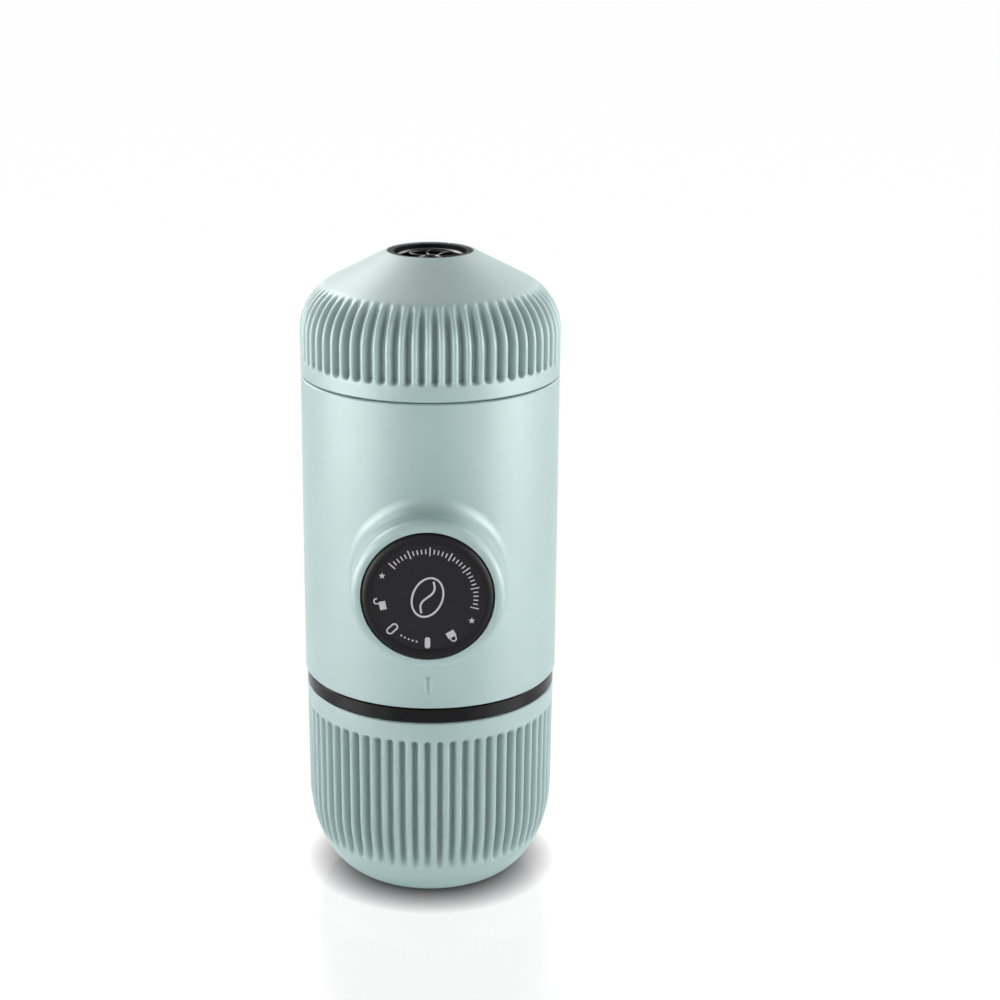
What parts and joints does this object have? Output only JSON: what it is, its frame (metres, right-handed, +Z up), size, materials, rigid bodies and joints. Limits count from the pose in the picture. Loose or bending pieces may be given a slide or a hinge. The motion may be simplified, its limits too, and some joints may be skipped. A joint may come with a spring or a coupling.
{
  "type": "handheld manual espresso maker",
  "caption": "Upright handheld pump espresso maker: grooved cup, water tank, smooth body with a push knob, and a conical head with a finned spout.",
  "frame": {"origin": "centre of the flat base that the object stands on, on the axis of the cup and the body", "axes": "+Z up along the body's axis to the spout, -Y to the front where the pump knob is, +X to the right seen from the front"},
  "size_m": [0.0614, 0.071, 0.156],
  "materials": {
    "cup_mint": "soft-touch matte",
    "tank_grey": "satin",
    "silicone": "matt silicone",
    "tube_clear": "natural nylon",
    "inner_black": "fine matt moulding",
    "screw_steel": "bright zinc",
    "shell_mint": "soft-touch matte",
    "cylinder_steel": "honed",
    "acetal": "natural acetal",
    "seal_rubber": "nitrile",
    "spring_steel": "drawn wire",
    "knob_black": "satin face, gloss edge",
    "basket_steel": "satin stainless",
    "scoop_black": "fine matt moulding",
    "spout_black": "gloss",
    "head_mint": "soft-touch matte"
  },
  "bodies": {
    "cup": {"cup": "cup_mint"},
    "tank": {"water_tank": "tank_grey", "cup_o_ring": "silicone"},
    "tank_gasket": {"tank_gasket": "silicone"},
    "body": {"tank_socket": "inner_black", "air_vent_valve": "silicone", "chassis_screws": "screw_steel", "body_shell": "shell_mint", "pump_chassis": "inner_black", "pump_cylinder": "cylinder_steel", "cylinder_gland": "acetal", "suction_tube": "tube_clear", "intake_strainer": "inner_black", "return_spring": "spring_steel", "inlet_valve_seat": "acetal", "inlet_valve_spring": "spring_steel", "outlet_valve_seat": "acetal", "outlet_valve_spring": "spring_steel", "outlet_spring_retainer": "acetal", "shower_screen": "basket_steel", "screen_screw": "screw_steel", "shower_seal": "silicone"},
    "piston": {"piston_rod": "acetal", "piston_seals": "seal_rubber", "knob_clip": "spring_steel"},
    "knob": {"knob_skirt": "inner_black", "knob_cap": "knob_black"},
    "inlet_poppet": {"inlet_valve_poppet": "silicone"},
    "outlet_poppet": {"outlet_valve_poppet": "silicone"},
    "scoop": {"scoop": "scoop_black"},
    "basket": {"filter_basket": "basket_steel"},
    "head_gasket": {"head_gasket": "silicone"},
    "head": {"portafilter": "spout_black", "spout_insert": "spout_black", "head_shell": "head_mint"}
  },
  "joints": [
    {"name": "cup_pull", "type": "slide", "parent": "cup", "child": "tank", "axis": [0, 0, 1], "range_m": [0, 0.055]},
    {"name": "tank_lift", "type": "slide", "parent": "tank", "child": "tank_gasket", "axis": [0, 0, 1], "range_m": [0, 0.06]},
    {"name": "tank_unscrew", "type": "hinge", "parent": "tank_gasket", "child": "body", "pos_m": [0, 0, 0.0614], "axis": [0, 0, 1], "range_deg": [0, 120]},
    {"name": "piston_stroke", "type": "slide", "parent": "body", "child": "piston", "axis": [0, -1, 0], "range_m": [0, 0.02], "deforming": ["return_spring"]},
    {"name": "knob_turn", "type": "hinge", "parent": "piston", "child": "knob", "pos_m": [0, 0, 0.0843], "axis": [0, -1, 0], "range_deg": [0, 45]},
    {"name": "inlet_lift", "type": "slide", "parent": "body", "child": "inlet_poppet", "axis": [0, 0, 1], "range_m": [0, 0.0012], "deforming": ["inlet_valve_spring"]},
    {"name": "outlet_lift", "type": "slide", "parent": "body", "child": "outlet_poppet", "axis": [0, 0, 1], "range_m": [0, 0.0012], "deforming": ["outlet_valve_spring"]},
    {"name": "scoop_lift", "type": "slide", "parent": "body", "child": "scoop", "axis": [0, 0, 1], "range_m": [0, 0.02]},
    {"name": "basket_lift", "type": "slide", "parent": "scoop", "child": "basket", "axis": [0, 0, 1], "range_m": [0, 0.02]},
    {"name": "head_lift", "type": "slide", "parent": "basket", "child": "head_gasket", "axis": [0, 0, 1], "range_m": [0, 0.03]},
    {"name": "head_turn", "type": "hinge", "parent": "head_gasket", "child": "head", "pos_m": [0, 0, 0.1314], "axis": [0, 0, 1], "range_deg": [0, 90]}
  ]
}
